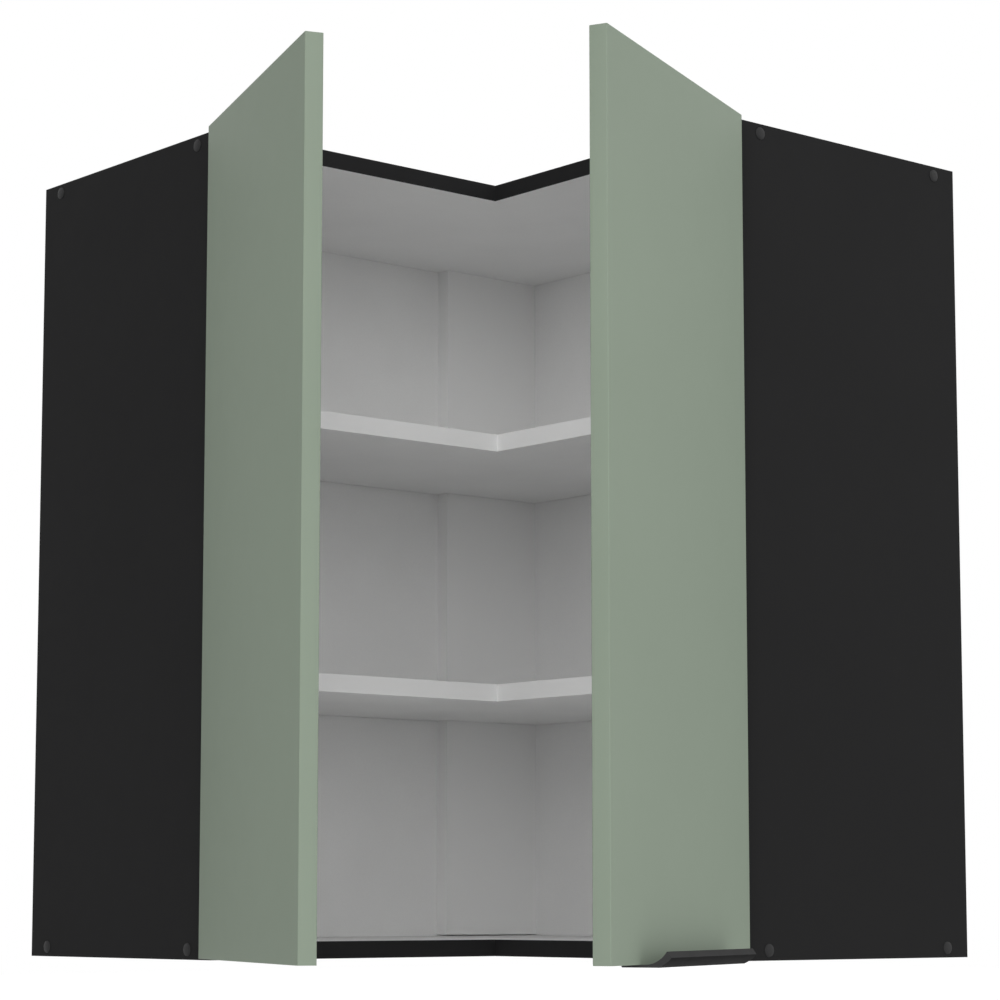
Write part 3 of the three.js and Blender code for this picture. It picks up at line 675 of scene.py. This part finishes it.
def add_hinge_screws(side, level):
    """Two screws in a hinge's plate, two adjusters in its arm and two screws in its cup's ears."""
    hinge = f"hinge_{side}_{level}"
    wing, door = wing_matrix(side), door_matrix(side)
    arm, cup = box_in(wing, f"{hinge}_arm"), box_in(door, f"{hinge}_cup")
    front = box_in(wing, f"end_panel_{side}").high.y

    plate = arm.high.x - PLATE_THICKNESS
    heights = [arm.middle.z + way * PLATE_SCREW_SPACING / 2 for way in PAIR]
    places = [(plate, front - PLATE_SCREW_SETBACK, z) for z in heights]
    on_plate = facing(wing, places, TO_ROOM_CORNER)
    add_piece(f"{hinge}_plate_screws", pan_head, on_plate, "carcass", steel_finish)

    sizes = ADJUSTER_HEIGHTS_AND_SETBACKS
    places = [(arm.high.x - height, front - setback, arm.middle.z) for height, setback in sizes]
    in_arm = facing(wing, places, TO_ROOM_CORNER)
    add_piece(f"{hinge}_adjusters", grub, in_arm, "carcass", steel_finish)

    heights = [cup.middle.z + way * EAR_SPACING / 2 for way in PAIR]
    places = [(cup.middle.x - EAR_OFFSET, cup.low.y - EAR_SCREW_RISE, z) for z in heights]
    on_ears = facing(door, places, TO_WALL)
    add_piece(f"{hinge}_cup_screws", flat_head, on_ears, f"{side}_door", steel_finish)


def add_hanger_screws(side):
    wing = wing_matrix(side)
    hanger = box_in(wing, f"hanger_body_{side}")
    face = hanger.high.y - HANGER_SCREW_DEPTH
    places = [(hanger.middle.x, face, hanger.high.z - drop) for drop in HANGER_SCREW_DROPS]
    in_hanger = facing(wing, places, FROM_WALL)
    add_piece(f"hanger_screws_{side}", grub, in_hanger, "carcass", steel_finish)


def add_bumpers(side):
    closed = box_in(door_matrix(side), f"door_{side}")
    heights = (closed.low.z + BUMPER_END_INSET, closed.high.z - BUMPER_END_INSET)
    places = [(closed.low.x + BUMPER_INSET, closed.low.y, z) for z in heights]
    on_back = facing(door_matrix(side), places, TO_WALL)
    add_piece(f"bumpers_{side}", bumper, on_back, f"{side}_door", bumper_finish)


def add_pull_screws():
    door = door_matrix("right")
    pull, closed = box_in(door, "edge_pull"), box_in(door, "door_right")
    along = [pull.middle.x + way * PULL_SCREW_SPACING / 2 for way in PAIR]
    places = [(x, closed.middle.y, pull.low.z + PULL_SCREW_DEPTH) for x in along]
    add_piece("pull_screws", flat_head, facing(door, places, DOWN), "right_door", black_finish)


for side in SIDES:
    for level in LEVELS:
        add_hinge_screws(side, level)
    add_hanger_screws(side)
    add_bumpers(side)
add_pull_screws()

# ---------------------------------------------------------------- studio

# The floor lies well below the hanging cabinet. The lift is what it adds for the rays that show it, so that
# it goes over into the white background.
FLOOR_HEIGHT = -0.4
FLOOR_HALF_SIZE = 14
FLOOR_CELLS = 12
FLOOR_LIFT = 0.38

# The level of the even light all round, and how much and where a flag on the left takes from it
AMBIENT = 0.56
FLAG_SIDE = (-0.643, -0.766, 0)
FLAG_FROM = 0.20
FLAG_TO = 0.80
FLAG_DEPTH = 0.55


def make_floor():
    made = bmesh.new()
    bmesh.ops.create_grid(made, x_segments=FLOOR_CELLS, y_segments=FLOOR_CELLS, size=FLOOR_HALF_SIZE)
    floor = linked("floor", mesh_of(made, "floor"))
    floor.location.z = FLOOR_HEIGHT
    shader = material_shader("floor_paper")
    color = shader.mix(shader.cloud(40.0, detail=4.0), *FLOOR_TONES)
    paper = shader.node("ShaderNodeBsdfDiffuse", {"Color": color})
    strength = shader.times(shader.shows(), FLOOR_LIFT)
    lift = shader.node("ShaderNodeEmission", {"Color": WHITE, "Strength": strength})
    both = shader.node("ShaderNodeAddShader", {0: paper.outputs[0], 1: lift.outputs[0]})
    shader.node("ShaderNodeOutputMaterial", {"Surface": both.outputs[0]})
    floor.data.materials.append(shader.owner)


def make_world():
    """Even light that a flag dims on one side, and plain white for the rays that show the background."""
    world = bpy.data.worlds.new("studio")
    bpy.context.scene.world = world
    shader = Shader(world)
    toward = shader.dot(shader.direction, FLAG_SIDE)
    behind = AMBIENT - FLAG_DEPTH
    dome = shader.ranged(toward, AMBIENT, behind, FLAG_FROM, FLAG_TO, interpolation_type="SMOOTHSTEP")
    strength = shader.ranged(shader.shows(), dome, 1.0)
    background = shader.node("ShaderNodeBackground", {"Color": WHITE, "Strength": strength})
    shader.node("ShaderNodeOutputWorld", {"Surface": background.outputs[0]})


def from_angles(azimuth, elevation):
    """A unit vector from its azimuth about +Z and its elevation, in radians."""
    flat = math.cos(elevation)
    return Vector((math.cos(azimuth) * flat, math.sin(azimuth) * flat, math.sin(elevation)))


def soft_sun(name, azimuth, elevation, spread, level):
    """A wide light, angles in degrees. At level 1 a face turned to it shows its colour as written."""
    lamp = bpy.data.lights.new(name, "SUN")
    lamp.energy, lamp.angle = level * math.pi, math.radians(spread)
    direction = from_angles(math.radians(azimuth), math.radians(elevation))
    linked(name, lamp).rotation_euler = direction.to_track_quat("Z", "Y").to_euler()


make_floor()
make_world()
soft_sun("front_light", azimuth=-44, elevation=8, spread=44, level=0.30)
soft_sun("right_light", azimuth=50, elevation=15, spread=60, level=0.17)
soft_sun("high_light", azimuth=-46, elevation=32, spread=70, level=0.39)

# ---------------------------------------------------------------- camera

# Fitted to the photograph's edges. The photograph is a level view with a tall lens shift. Most of the shift
# is turned into a small upward tilt here, so that views from other sides stay in the frame.
CAMERA_PLACE = (2.3089, -1.9984, 0.0465)
CAMERA_YAW = 2.4375
CAMERA_TILT = 0.1189
CAMERA_SHIFT = 0.06
SENSOR_WIDTH = 36
FOCAL_LENGTH = 103.863
NEAREST_SEEN = 0.05

camera = linked("camera", bpy.data.cameras.new("camera"))
camera.location = CAMERA_PLACE
camera.rotation_euler = from_angles(CAMERA_YAW, CAMERA_TILT).to_track_quat("-Z", "Y").to_euler()
camera.data.sensor_width = SENSOR_WIDTH
camera.data.lens = FOCAL_LENGTH
camera.data.shift_y = CAMERA_SHIFT
camera.data.clip_start = NEAREST_SEEN
bpy.context.scene.camera = camera

bpy.context.scene.view_settings.view_transform = "Standard"
